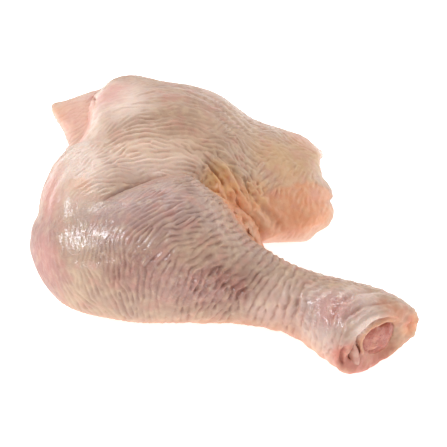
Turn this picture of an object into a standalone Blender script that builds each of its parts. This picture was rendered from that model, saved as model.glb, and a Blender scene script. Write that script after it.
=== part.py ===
"""A raw chicken leg quarter, lying skin side up on its flattened underside.

The thigh and the drumstick are one body of skin and flesh, folded at the knee so that they lie side by
side. The shin bone and one tendon show at the cut hock and run on into the drumstick, in channels that fit
them. Sizes in this file are millimetres, and the finished meshes are turned into metres.
"""

import math

import bmesh
import bpy
from mathutils import Matrix, Vector, kdtree, noise

METRES = 0.001

# Sections of the body, each in an upright plane across X: X, the Y and Z of its middle, width, height
DRUMSTICK = [
    (-70.5, -11.0, 20.0, 32, 30),
    (-59, -15.5, 21.5, 40, 35),
    (-44, -18.7, 23.0, 47.5, 41.5),
    (-26, -19.6, 25.0, 51.5, 49),
    (-12, -18.8, 26.0, 52, 51),
    (-5, -20.8, 23.5, 46, 46),
    (4, -25.3, 18.1, 34.5, 33),
    (15, -30.0, 15.3, 28, 26),
    (25, -34.6, 13.8, 25.2, 23.2),
    (35, -42.3, 13.4, 32.5, 23.8),
    (44, -48.2, 13.8, 37.5, 25),
    (57, -51.7, 14.3, 35, 22),
    (74, -57.5, 15.2, 18, 12),
]
THIGH = [
    (-59, 36.0, 23.0, 57, 42),
    (-34, 34.0, 26.0, 68, 52),
    (-22, 33.0, 26.0, 66, 52),
    (-11, 33.0, 25.0, 64, 50),
    (1, 31.5, 22.0, 64, 44),
    (12, 28.0, 18.0, 62, 36),
    (24, 27.5, 15.5, 60, 31),
    (35, 27.0, 14.0, 50, 28),
    (43, 25.0, 13.0, 38, 25),
]
WEB = [  # the loose skin and flesh that fill the crook between the two
    (-32, 6.0, 24.0, 40, 44),
    (-12, 0.5, 18.0, 36, 38),
    (0, -4.0, 13.5, 30, 31),
    (8, -7.0, 9.5, 24, 21),
    (15, -9.0, 7.0, 14, 13),
]
FLAP = [
    (-38, 50.0, 25.0, 50, 26),
    (-50, 57.0, 24.0, 38, 20),
    (-58, 59.0, 22.5, 32, 14),
    (-64, 62.0, 21.0, 24, 10),
    (-68.5, 69.5, 20.0, 12, 7),
]
# How much of a limb's length its two ends take to round off
DRUMSTICK_ENDS = (0.10, 0.05)
THIGH_ENDS = (0.16, 0.12)
WEB_ENDS = (0.30, 0.30)
FLAP_ENDS = (0.20, 0.05)
SQUARER = 0.78  # below 1, and the lower half of a section is squarer, as soft flesh is where it rests

# Egg-shaped masses: middle, size and turn in degrees seen from above
KNEE_BEND = ((-45.5, 3.0, 24.0), (42, 72, 46), -13)
SKIN_EDGE = ((31.5, 42.0, 16.0), (17, 15, 11), 25)  # the ragged edge of the skin at the hip end
SLIT = ((-53.0, 59.0, 32.0), (2.2, 26, 16), -14)  # cut out between the flap and the end of the thigh

# The cut through the hock joint: its middle, the way it faces, and the two ways across it
CUT_CENTRE = Vector((55.5, -56.0, 12.5))
CUT_FACING = Vector((0.50, -0.85, 0.16)).normalized()
CUT_ACROSS = Vector((0, 0, 1)).cross(CUT_FACING).normalized()
CUT_UP = CUT_FACING.cross(CUT_ACROSS).normalized()
# Hollows in the cut face: place across and up it, half width, half height, depth
HOLLOWS = [
    (-1.0, 0.6, 16.0, 8.0, 1.3),  # the whole face inside the rim of skin
    (0.0, 1.2, 8.4, 7.4, 1.6),  # round the end of the bone
    (-16.4, -2.0, 1.2, 3.8, 1.9),  # openings on the near side
    (-13.0, -2.4, 1.1, 4.2, 1.7),
    (13.0, 2.2, 1.1, 2.6, 1.4),  # opening on the far side
]

# The shin bone: where it starts and where it leaves the middle of the shank, as shares of the drumstick
BONE_START = 0.16
BONE_BENDS = 0.72
BONE_WIDTH = 13.0
BONE_SET_BACK = 1.4  # its end lies that far behind the plane of the cut
BONE_RAISED = 1.2
BONE_THICKNESS = 0.84  # its height as a share of its width
BONE_WIDTHS = [(0.0, 1.15), (0.12, 0.95), (0.30, 0.55), (0.80, 0.55), (0.92, 0.85), (1.0, 1.0)]
BONE_ENDS = (0.05, 0.03)

# The tendon: its place on the cut face, across and up, and its half-way end in the shank
TENDON_PLACE = (-9.9, -0.6)
TENDON_SET_BACK = 0.4
TENDON_WIDTH = 4.0
TENDON_HEIGHT = 6.4
TENDON_END = Vector((29.0, -45.5, 11.0))
TENDON_TAPER = 0.55
TENDON_ENDS = (0.06, 0.06)

CLEARANCE = 0.35  # between a bone or tendon and the flesh round it
FLATTENED = 1.6  # how much of the round underside is pressed flat

# The crease where the calf's belly lies against the thigh, from the knee to the mouth of the gap
CREASE_LINE = [
    (0.00, Vector((-46.0, -14.0, 41.0))),
    (0.14, Vector((-37.0, -4.0, 42.5))),
    (0.28, Vector((-26.0, 1.0, 42.0))),
    (0.44, Vector((-12.0, 2.0, 42.5))),
    (0.56, Vector((-5.0, -2.0, 37.0))),
    (0.68, Vector((0.0, -6.0, 31.0))),
    (0.80, Vector((6.0, -10.0, 24.0))),
    (0.90, Vector((11.0, -13.5, 18.0))),
    (1.00, Vector((15.0, -15.0, 10.0))),
]

# Fineness of the meshes
VOXEL = 1.4
SMOOTHING_PASSES = 4
LEG_TRIANGLES = 10600
SLIVER = 0.05  # points nearer to each other than this are merged
FOLDED_SKIN = 70  # the sharpest fold left in the skin, in degrees
FOLDED_OVER = 130  # the sharpest edge left anywhere
LIMB_GRID = (40, 56)
LOBE_GRID = (28, 20)
BONE_GRID = (20, 26)
TENDON_GRID = (14, 16)
LINE_SAMPLES = 200


def smooth_between(stations, s):
    """The value at s of a curve through (place, value) stations, with no corner at any of them."""
    if s <= stations[0][0]:
        return stations[0][1]
    for i in range(len(stations) - 1):
        (s0, v0), (s1, v1) = stations[i], stations[i + 1]
        if s <= s1:
            before = stations[max(i - 1, 0)]
            after = stations[min(i + 2, len(stations) - 1)]
            slope0 = (v1 - before[1]) / (s1 - before[0])
            slope1 = (after[1] - v0) / (after[0] - s0)
            span = s1 - s0
            t = (s - s0) / span
            return (
                v0 * (2 * t**3 - 3 * t**2 + 1)
                + slope0 * ((t**3 - 2 * t**2 + t) * span)
                + v1 * (3 * t**2 - 2 * t**3)
                + slope1 * ((t**3 - t**2) * span)
            )
    return stations[-1][1]


def round_end(s, ends):
    """How full a limb is at s, with its two ends rounded over those shares of its length."""
    depth = min(s / ends[0], (1 - s) / ends[1])
    return math.sqrt(max(0.0, 1 - (1 - depth) ** 2)) if depth < 1 else 1.0


def ramp(low, high, value):
    """0 below low, 1 above high, and a smooth rise between them."""
    t = min(1.0, max(0.0, (value - low) / (high - low)))
    return t * t * (3 - 2 * t)


def lines_of(table):
    """The middle line, the widths and the heights that a table of sections gives, by share of its length."""
    first, length = table[0][0], table[-1][0] - table[0][0]
    line = [((x - first) / length, Vector((x, y, z))) for x, y, z, _, _ in table]
    widths = [((row[0] - first) / length, row[3]) for row in table]
    heights = [((row[0] - first) / length, row[4]) for row in table]
    return line, widths, heights


def limb(line, widths, heights, ends, upright=False, underside=1.0, grow=0.0, grid=LIMB_GRID):
    """A closed, round-ended bmesh along a middle line, with its own width and height at each station.

    The sections are square to the line, or upright and square to X.
    """
    step = 0.01
    bm = bmesh.new()
    bmesh.ops.create_uvsphere(bm, u_segments=grid[0], v_segments=grid[1], radius=1.0)
    for vert in bm.verts:
        s = (1 - vert.co.z) / 2
        angle = math.atan2(vert.co.y, vert.co.x)
        ahead = smooth_between(line, min(s + step, 1)) - smooth_between(line, max(s - step, 0))
        if upright:
            ahead = Vector((ahead.x, 0, 0))
        ahead.normalize()
        side = Vector((-ahead.y, ahead.x, 0)).normalized()
        lift = ahead.cross(side)
        full = round_end(s, ends)
        half_width = smooth_between(widths, s) / 2 * full + grow
        half_height = smooth_between(heights, s) / 2 * full + grow
        across, up = math.cos(angle), math.sin(angle)
        if up < 0:
            across = math.copysign(abs(across) ** underside, across)
            up = -(abs(up) ** underside)
        lengthen = ahead * math.copysign(grow * (1 - full), s - 0.5)
        place = smooth_between(line, s) + side * (across * half_width) + lift * (up * half_height)
        vert.co = place + lengthen
    bmesh.ops.recalc_face_normals(bm, faces=bm.faces[:])
    if bm.calc_volume(signed=True) < 0:
        bmesh.ops.reverse_faces(bm, faces=bm.faces[:])
    return bm


def body_limb(table, ends):
    """A limb of soft flesh from a table of upright sections."""
    return limb(*lines_of(table), ends, upright=True, underside=SQUARER)


def lobe(centre, size, turn):
    """An egg-shaped mass as a bmesh, turned by that many degrees seen from above."""
    bm = bmesh.new()
    bmesh.ops.create_uvsphere(bm, u_segments=LOBE_GRID[0], v_segments=LOBE_GRID[1], radius=0.5)
    bmesh.ops.scale(bm, vec=Vector(size), verts=bm.verts[:])
    spin = Matrix.Rotation(math.radians(turn), 3, "Z")
    bmesh.ops.rotate(bm, cent=(0, 0, 0), matrix=spin, verts=bm.verts[:])
    bmesh.ops.translate(bm, vec=Vector(centre), verts=bm.verts[:])
    return bm


def cut_flat(bm, point, facing):
    """Cuts away what lies beyond a plane, and closes the cut with a flat face."""
    bmesh.ops.bisect_plane(
        bm,
        geom=bm.verts[:] + bm.edges[:] + bm.faces[:],
        dist=SLIVER,
        plane_co=point,
        plane_no=facing,
        clear_outer=True,
    )
    bmesh.ops.holes_fill(bm, edges=[e for e in bm.edges if e.is_boundary])
    return bm


def add_object(name, bm, collection):
    """A mesh object made from a bmesh, which is then freed."""
    mesh = bpy.data.meshes.new(name)
    bm.to_mesh(mesh)
    bm.free()
    obj = bpy.data.objects.new(name, mesh)
    collection.objects.link(obj)
    return obj


def joined(parts):
    """One bmesh that holds all of these, which are then freed."""
    whole = bmesh.new()
    for bm in parts:
        mesh = bpy.data.meshes.new("piece")
        bm.to_mesh(mesh)
        bm.free()
        whole.from_mesh(mesh)
        bpy.data.meshes.remove(mesh)
    return whole


def apply_modifiers(obj):
    """Replaces an object's mesh by the one that its modifiers make."""
    bpy.context.view_layer.update()
    graph = bpy.context.evaluated_depsgraph_get()
    made = bpy.data.meshes.new_from_object(obj.evaluated_get(graph))
    obj.modifiers.clear()
    old = obj.data
    obj.data = made
    bpy.data.meshes.remove(old)
    made.name = obj.name


def body_masses():
    """The overlapping masses of the leg quarter, with the drumstick cut off flat at the hock."""
    drumstick = body_limb(DRUMSTICK, DRUMSTICK_ENDS)
    return [
        cut_flat(drumstick, CUT_CENTRE, CUT_FACING),
        body_limb(THIGH, THIGH_ENDS),
        body_limb(WEB, WEB_ENDS),
        body_limb(FLAP, FLAP_ENDS),
        lobe(*KNEE_BEND),
        lobe(*SKIN_EDGE),
    ]


def fuse(obj):
    """Makes one skin of the overlapping masses in a mesh, with soft hollows where they meet."""
    remesh = obj.modifiers.new("Fuse", "REMESH")
    remesh.mode = "VOXEL"
    remesh.voxel_size = VOXEL
    soften = obj.modifiers.new("Soften", "SMOOTH")
    soften.factor = 0.5
    soften.iterations = SMOOTHING_PASSES
    apply_modifiers(obj)


class LineFinder:
    """Finds the nearest point of a middle line: how far along it lies, how far away, and where."""

    def __init__(self, line):
        self.tree = kdtree.KDTree(LINE_SAMPLES + 1)
        for i in range(LINE_SAMPLES + 1):
            self.tree.insert(smooth_between(line, i / LINE_SAMPLES), i)
        self.tree.balance()

    def nearest(self, point):
        spot, index, distance = self.tree.find(point)
        return index / LINE_SAMPLES, distance, spot


def uneven(point, size, seed=0.0):
    """Smooth noise from -1 to 1 with lumps of about that size."""
    return noise.noise(point / size + Vector((seed, 2 * seed, -seed)))


def ridge(phase):
    """A row of folds, one to each whole number: broad rounded tops with narrow creases between them."""
    roundness = 0.7
    wave = abs(math.sin(math.pi * phase))
    return 2 * wave**roundness - 1


def crook_folds(place, along, away):
    """Deep folds of loose skin in the crook of the knee, running beside the calf's edge."""
    pitch, height, wander, lump = 4.8, 1.4, 0.45, 14
    reach = ramp(0.36, 0.52, along) * (1 - ramp(0.93, 1.0, along))
    reach *= ramp(1.0, 3.5, away) * (1 - ramp(12.0, 22.0, away))
    return height * reach * ridge(away / pitch + wander * uneven(place, lump, 3))


def thigh_folds(place, along, away):
    """Long low folds that sweep over the thigh, round the top of the calf."""
    pitch, height, wander, lump = 6.0, 0.42, 0.9, 20
    reach = ramp(3.0, 9.0, away) * (1 - ramp(35.0, 50.0, away)) * (1 - ramp(0.5, 0.8, along))
    return height * reach * ridge(away / pitch + wander * uneven(place, lump, 5))


def shin_folds(place, along, around):
    """Folds across the drumstick, slanted where the skin is drawn up to the knee, closer at the shank."""
    length, pitch, height, wander, lump, most_slant = 150.0, 4.6, 0.45, 0.8, 11, 0.24
    slant = most_slant * (1 - ramp(0.5, 0.75, along)) * around
    reach = ramp(0.22, 0.45, along) * (1 - ramp(0.88, 0.94, along))
    return height * reach * ridge((along - slant) * length / pitch + wander * uneven(place, lump, 7))


def crease_groove(along, away):
    """The groove of the crease itself, which runs out towards the knee."""
    depth, width = 1.8, 2.4
    return -depth * math.exp(-((away / width) ** 2)) * ramp(0.05, 0.35, along)


def skin_rise(place, crease, shin):
    """How far the skin stands out or in at a place, with its folds, lumps and the crease."""
    lump, lump_height = 17, 0.7
    along, away, _ = crease.nearest(place)
    shin_along, shin_away, spot = shin.nearest(place)
    from_axis = place - spot
    around = math.atan2(from_axis.z, -from_axis.y) / math.pi
    beyond = place.y - smooth_between(CREASE_LINE, along).y
    on_thigh = ramp(-1.0, 2.0, beyond) * ramp(2.0, 8.0, place.z)
    on_shin = 1 - ramp(26.0, 31.0, shin_away)
    rise = lump_height * uneven(place, lump) + crease_groove(along, away)
    rise += on_thigh * (crook_folds(place, along, away) + thigh_folds(place, along, away))
    rise += (1 - on_thigh) * on_shin * shin_folds(place, shin_along, around)
    return rise


def cut_sinks(out):
    """How deep the face of the cut lies at a place given from the middle of the cut."""
    deep = 0.0
    for across, up, half_width, half_height, depth in HOLLOWS:
        reach = math.hypot((out.dot(CUT_ACROSS) - across) / half_width, (out.dot(CUT_UP) - up) / half_height)
        deep += depth * (1 - ramp(0.75, 1.15, reach))
    return deep


def shape_relief(obj):
    """Moves the fused skin along its normals into its folds, and the cut face into its hollows."""
    crease = LineFinder(CREASE_LINE)
    shin = LineFinder(lines_of(DRUMSTICK)[0])
    bm = bmesh.new()
    bm.from_mesh(obj.data)
    bm.normal_update()
    moves = []
    for vert in bm.verts:
        place = vert.co
        out = place - CUT_CENTRE
        at_cut = ramp(-2.2, -0.6, out.dot(CUT_FACING)) * (place.x > 0) * (place.y < 0)
        push = vert.normal * (skin_rise(place, crease, shin) * (1 - at_cut))
        moves.append(push - CUT_FACING * (at_cut * cut_sinks(out)))
    for vert, push in zip(bm.verts, moves):
        vert.co += push
    bm.to_mesh(obj.data)
    bm.free()


def untangle(obj, limit):
    """Merges slivers, and smooths the places where the surface is folded by more than limit degrees."""
    most_rounds = 12
    bm = bmesh.new()
    bm.from_mesh(obj.data)
    bmesh.ops.remove_doubles(bm, verts=bm.verts[:], dist=SLIVER)
    bmesh.ops.dissolve_degenerate(bm, dist=SLIVER, edges=bm.edges[:])
    for _ in range(most_rounds):
        bm.normal_update()
        folded = [e for e in bm.edges if e.is_manifold and e.calc_face_angle() > math.radians(limit)]
        if not folded:
            break
        verts = {vert for edge in folded for vert in edge.verts}
        bmesh.ops.smooth_vert(
            bm, verts=list(verts), factor=0.5, use_axis_x=True, use_axis_y=True, use_axis_z=True
        )
    bm.to_mesh(obj.data)
    bm.free()


def press_flat(obj):
    """Cuts the underside off level, as it is pressed flat where the food rests."""
    bm = bmesh.new()
    bm.from_mesh(obj.data)
    cut_flat(bm, Vector((0, 0, FLATTENED)), Vector((0, 0, -1)))
    for vert in bm.verts:
        if vert.co.z < FLATTENED + SLIVER:
            vert.co.z = FLATTENED
    bmesh.ops.remove_doubles(bm, verts=bm.verts[:], dist=SLIVER)
    bm.to_mesh(obj.data)
    bm.free()


def thin_to(obj, triangles):
    """Thins a mesh to about that many triangles, keeping most of them where the surface bends."""
    bm = bmesh.new()
    bm.from_mesh(obj.data)
    bmesh.ops.triangulate(bm, faces=bm.faces[:])
    now = len(bm.faces)
    bm.to_mesh(obj.data)
    bm.free()
    thin = obj.modifiers.new("Thin", "DECIMATE")
    thin.ratio = min(1.0, triangles / now)
    apply_modifiers(obj)


def cut_out(obj, bm):
    """Takes the shape of a bmesh out of an object."""
    cutter = add_object("cutter", bm, bpy.context.scene.collection)
    cut = obj.modifiers.new("Cut", "BOOLEAN")
    cut.operation = "DIFFERENCE"
    cut.object = cutter
    apply_modifiers(obj)
    mesh = cutter.data
    bpy.data.objects.remove(cutter)
    bpy.data.meshes.remove(mesh)


def shin_bone(grow=0.0):
    """The shin bone, from a plain rounded end in the knee to the knuckle that shows at the cut."""
    pieces, straight, turned = 8, 0.90, 0.96
    shank = lines_of(DRUMSTICK)[0]
    span = BONE_BENDS - BONE_START
    line = [
        (straight * i / pieces, smooth_between(shank, BONE_START + span * i / pieces))
        for i in range(pieces + 1)
    ]
    end = CUT_CENTRE + CUT_UP * BONE_RAISED - CUT_FACING * BONE_SET_BACK
    line.append((turned, end - CUT_FACING * BONE_WIDTH / 2))
    line.append((1.0, end))
    widths = [(s, share * BONE_WIDTH) for s, share in BONE_WIDTHS]
    heights = [(s, width * BONE_THICKNESS) for s, width in widths]
    return limb(line, widths, heights, BONE_ENDS, grow=grow, grid=BONE_GRID)


def tendon(grow=0.0):
    """The pale tendon beside the bone, which runs up the shank from the cut."""
    across, up = TENDON_PLACE
    start = CUT_CENTRE + CUT_ACROSS * across + CUT_UP * up - CUT_FACING * TENDON_SET_BACK
    line = [(0.0, start), (1.0, TENDON_END)]
    widths = [(0.0, TENDON_WIDTH), (1.0, TENDON_TAPER * TENDON_WIDTH)]
    heights = [(0.0, TENDON_HEIGHT), (1.0, TENDON_TAPER * TENDON_HEIGHT)]
    return limb(line, widths, heights, TENDON_ENDS, grow=grow, grid=TENDON_GRID)


def finish(obj, name, colour, roughness):
    """Gives an object a plain finish in the food's own colour, shaded smooth."""
    material = bpy.data.materials.new(name)
    material.use_nodes = True
    shader = material.node_tree.nodes["Principled BSDF"]
    shader.inputs["Base Color"].default_value = (*colour, 1.0)
    shader.inputs["Roughness"].default_value = roughness
    shader.inputs["Metallic"].default_value = 0.0
    obj.data.materials.append(material)
    obj.data.shade_smooth()


def finish_sizes(objects):
    """Turns the meshes into metres, with the origin at the bottom middle of the box round them all."""
    places = [vert.co for obj in objects for vert in obj.data.vertices]
    low = Vector([min(co[axis] for co in places) for axis in range(3)])
    high = Vector([max(co[axis] for co in places) for axis in range(3)])
    shift = -Vector(((low.x + high.x) / 2, (low.y + high.y) / 2, low.z))
    for obj in objects:
        obj.data.transform(Matrix.Scale(METRES, 4) @ Matrix.Translation(shift))
    return shift * METRES


def build():
    """Builds the leg quarter, its bone and its tendon, and returns how far they moved to be centred."""
    for obj in list(bpy.data.objects):
        bpy.data.objects.remove(obj)
    food = bpy.data.collections.new("chicken_leg_quarter")
    bpy.context.scene.collection.children.link(food)

    leg = add_object("leg_quarter", joined(body_masses()), food)
    fuse(leg)
    shape_relief(leg)
    untangle(leg, FOLDED_SKIN)
    cut_out(leg, lobe(*SLIT))
    thin_to(leg, LEG_TRIANGLES)
    untangle(leg, FOLDED_OVER)
    press_flat(leg)
    cut_out(leg, shin_bone(grow=CLEARANCE))
    cut_out(leg, tendon(grow=CLEARANCE))
    bone = add_object("shin_bone", shin_bone(), food)
    cord = add_object("hock_tendon", tendon(), food)

    finish(leg, "skin", (0.61, 0.42, 0.34), 0.38)
    finish(bone, "bone", (0.62, 0.27, 0.20), 0.35)
    finish(cord, "tendon", (0.71, 0.56, 0.46), 0.3)
    return finish_sizes((leg, bone, cord))


build()
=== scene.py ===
import math
import bpy
import bmesh
import numpy as np
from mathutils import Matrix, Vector, kdtree, noise


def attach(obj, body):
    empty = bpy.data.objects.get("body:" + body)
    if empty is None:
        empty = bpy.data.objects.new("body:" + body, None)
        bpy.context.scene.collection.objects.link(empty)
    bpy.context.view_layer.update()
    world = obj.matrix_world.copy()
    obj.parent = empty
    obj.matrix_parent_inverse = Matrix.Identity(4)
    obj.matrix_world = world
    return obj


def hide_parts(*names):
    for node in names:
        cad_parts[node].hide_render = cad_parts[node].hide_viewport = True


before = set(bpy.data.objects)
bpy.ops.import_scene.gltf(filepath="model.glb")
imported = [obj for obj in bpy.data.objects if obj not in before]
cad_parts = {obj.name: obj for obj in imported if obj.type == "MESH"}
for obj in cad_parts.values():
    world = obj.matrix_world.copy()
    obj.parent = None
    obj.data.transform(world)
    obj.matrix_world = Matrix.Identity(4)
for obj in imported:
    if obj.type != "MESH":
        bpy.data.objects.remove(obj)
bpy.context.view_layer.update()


# The table and the light

# A plain white table top, softly lit from below as a photographer's table is, and wide enough to run
# out of the picture on all sides. The room is brighter low down than overhead. A soft lamp on the left
# gives the gleam on the knee, two light the edges, and a long, weak one in front gives small glints.

TABLE_SIZE = 6.0
TABLE_DROP = 0.0002
TABLE_GLOW = 0.70


def plain_material(name, colour, roughness):
    material = bpy.data.materials.new(name)
    material.use_nodes = True
    shader = material.node_tree.nodes["Principled BSDF"]
    shader.inputs["Base Color"].default_value = (*colour, 1.0)
    shader.inputs["Roughness"].default_value = roughness
    return material


board = bmesh.new()
bmesh.ops.create_grid(board, x_segments=1, y_segments=1, size=TABLE_SIZE / 2)
bmesh.ops.translate(board, verts=board.verts, vec=(0.0, 0.0, -TABLE_DROP))
table_mesh = bpy.data.meshes.new("table_top")
board.to_mesh(table_mesh)
board.free()
table = bpy.data.objects.new("table_top", table_mesh)
white_table = plain_material("white_table", (0.88, 0.88, 0.88), 0.7)
table_shader = white_table.node_tree.nodes["Principled BSDF"]
table_shader.inputs["Emission Color"].default_value = (1.0, 1.0, 1.0, 1.0)
table_shader.inputs["Emission Strength"].default_value = TABLE_GLOW
table_mesh.materials.append(white_table)
bpy.context.scene.collection.objects.link(table)

LEG_MIDDLE = Vector((0.0005, -0.0061, 0.0184))


def soft_lamp(name, turn, rise, distance, size, power, colour):
    """An oval lamp around the leg: turned from the camera's side, risen above the table."""
    lamp = bpy.data.lights.new(name, "AREA")
    lamp.shape = "ELLIPSE"
    lamp.size, lamp.size_y = size
    lamp.energy = power
    lamp.color = colour
    holder = bpy.data.objects.new(name, lamp)
    turn, rise = math.radians(turn), math.radians(rise)
    way = Vector((math.sin(turn) * math.cos(rise), -math.cos(turn) * math.cos(rise), math.sin(rise)))
    holder.location = LEG_MIDDLE + distance * way
    holder.rotation_euler = (-way).to_track_quat("-Z", "Y").to_euler()
    bpy.context.scene.collection.objects.link(holder)


soft_lamp("left_lamp", -84, 43, 0.90, (0.60, 0.20), 2.3, (0.90, 0.97, 1.05))
soft_lamp("back_lamp", -160, 45, 1.00, (0.60, 0.60), 2.6, (1.0, 0.99, 0.98))
soft_lamp("right_lamp", 105, 22, 0.95, (0.70, 0.70), 2.0, (1.0, 0.99, 0.98))
soft_lamp("front_lamp", -44, 20, 0.95, (0.50, 0.04), 0.75, (0.96, 0.98, 1.0))

# How bright the room is low down and overhead, and between which heights, as sines, it falls off.
SKY_LOW = 0.84
SKY_HIGH = 0.55
SKY_FALL = (0.15, 0.75)
sky = bpy.data.worlds.new("white_room")
sky.use_nodes = True
air = sky.node_tree
way_out = air.nodes.new("ShaderNodeTexCoord")
split = air.nodes.new("ShaderNodeSeparateXYZ")
fall = air.nodes.new("ShaderNodeMapRange")
air.links.new(way_out.outputs["Generated"], split.inputs[0])
air.links.new(split.outputs["Z"], fall.inputs["Value"])
fall.inputs["From Min"].default_value, fall.inputs["From Max"].default_value = SKY_FALL
fall.inputs["To Min"].default_value = SKY_LOW
fall.inputs["To Max"].default_value = SKY_HIGH
air.nodes["Background"].inputs["Color"].default_value = (1.0, 1.0, 1.0, 1.0)
air.links.new(fall.outputs["Result"], air.nodes["Background"].inputs["Strength"])
bpy.context.scene.world = sky
bpy.context.scene.view_settings.view_transform = "Standard"


# The camera

# It looks down on the leg at forty degrees, straight along the table, from an arm's length away. The
# lens is a long one, so that the near and far ends of the leg keep nearly their true sizes.

VIEW_FALL = math.radians(40.0)
VIEW_DISTANCE = 0.620
LENS = 134.95
SENSOR_WIDTH = 36.0

towards_camera = Vector((0.0, -math.cos(VIEW_FALL), math.sin(VIEW_FALL)))
camera = bpy.data.objects.new("camera", bpy.data.cameras.new("camera"))
camera.data.lens = LENS
camera.data.sensor_width = SENSOR_WIDTH
camera.data.clip_start = 0.01
camera.location = LEG_MIDDLE + VIEW_DISTANCE * towards_camera
camera.rotation_euler = (math.pi / 2 - VIEW_FALL, 0.0, 0.0)
bpy.context.scene.collection.objects.link(camera)
bpy.context.scene.camera = camera


# The leg: skin, fat and flesh

# Raw skin over fat and muscle, in one piece from the hip edge to the hock. The solid's form is taken
# over, evened out, and then worked like clay: creases, folds, the cut hock and the loose skin edge.

FINE_GRID = 0.00047
EVENING_PASSES = 14
LEG_TRIANGLES = 192000

# How far above the table the bone and the tendon stay.
TABLE_CLEARANCE = 0.6

# Millimetres in a metre: the leg is worked in millimetres, and its mesh is in metres.
MM = 1000.0


def finish_modifiers(piece):
    """Works a piece's modifiers into its own mesh."""
    depsgraph = bpy.context.evaluated_depsgraph_get()
    worked = bpy.data.meshes.new_from_object(piece.evaluated_get(depsgraph))
    piece.modifiers.clear()
    old = piece.data
    piece.data = worked
    bpy.data.meshes.remove(old)


def worked_copy(node, name, grid, passes):
    """A finer, evened-out copy of a solid, ready to be shaped."""
    shell = bmesh.new()
    shell.from_mesh(node.data)
    bmesh.ops.remove_doubles(shell, verts=shell.verts, dist=1e-6)
    mesh = bpy.data.meshes.new(name)
    shell.to_mesh(mesh)
    shell.free()
    piece = bpy.data.objects.new(name, mesh)
    bpy.context.scene.collection.objects.link(piece)
    even = piece.modifiers.new("even_grid", "REMESH")
    even.mode = "VOXEL"
    even.voxel_size = grid
    rub = piece.modifiers.new("rub", "SMOOTH")
    rub.iterations = passes
    finish_modifiers(piece)
    return piece


leg = worked_copy(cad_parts["leg_quarter"], "skin_and_flesh", FINE_GRID, EVENING_PASSES)


def places_of(mesh):
    """Where each vertex is, in millimetres."""
    flat = np.empty(len(mesh.vertices) * 3, np.float32)
    mesh.vertices.foreach_get("co", flat)
    return flat.reshape(-1, 3).astype(float) * MM


def facings_of(mesh):
    """The way each vertex faces."""
    flat = np.empty(len(mesh.vertices) * 3, np.float32)
    mesh.vertex_normals.foreach_get("vector", flat)
    return flat.reshape(-1, 3).astype(float)


def put_places(mesh, places):
    mesh.vertices.foreach_set("co", (places / MM).astype(np.float32).ravel())
    mesh.update()


def cloudy(places, size, seed):
    """A soft random value from -1 to 1 for each point, in clouds of this size in millimetres."""
    shift = Vector((seed * 17.3, seed * 5.1, seed * 9.7))
    return np.array([noise.noise(Vector(p) / size + shift) for p in places])


def step_up(value, low, high):
    """Nothing up to low, one from high on, and a smooth rise between them."""
    t = np.clip((value - low) / (high - low), 0.0, 1.0)
    return t * t * (3.0 - 2.0 * t)


def patch(places, centre, radii, edge=0.5):
    """One inside an oval patch of the surface, falling to nothing outside it."""
    far = np.linalg.norm((places - np.array(centre)) / np.array(radii), axis=1)
    return 1.0 - step_up(far, 1.0 - edge, 1.0 + edge)


def along_line(places, line, width):
    """How near each point is to a line of points: one on it, fading out over about twice the width."""
    nearest = np.full(len(places), 1e9)
    for start, end in zip(line[:-1], line[1:]):
        a, b = np.array(start, float), np.array(end, float)
        span = b - a
        share = np.clip(((places - a) @ span) / (span @ span), 0.0, 1.0)
        nearest = np.minimum(nearest, np.linalg.norm(places - a - share[:, None] * span, axis=1))
    return np.exp(-((nearest / width) ** 2))


# Where the calf's thick skin ends against the thigh, seen from above, and on across the gap.
CALF_EDGE = (
    (-75, -14), (-46, -25), (-42, -21), (-35, -14.5), (-26, -8), (-16, -6.6), (-11, -8), (-5, -11), (5, -15),
    (15, -20), (40, -18), (75, -25),
)


def table_at(table, value):
    """Reads a table of pairs between its rows."""
    return np.interp(value, [row[0] for row in table], [row[1] for row in table])


def on_the_calf(places):
    """One on the calf's side of its edge, nothing on the thigh's side."""
    return 1.0 - step_up(places[:, 1] - table_at(CALF_EDGE, places[:, 0]), -1.5, 1.5)


def beside_edge(places):
    """How far inside the calf's edge each point lies, square to the edge."""
    edge = table_at(CALF_EDGE, places[:, 0])
    slope = table_at(CALF_EDGE, places[:, 0] + 0.5) - table_at(CALF_EDGE, places[:, 0] - 0.5)
    return (edge - places[:, 1]) / np.hypot(1.0, slope)


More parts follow.
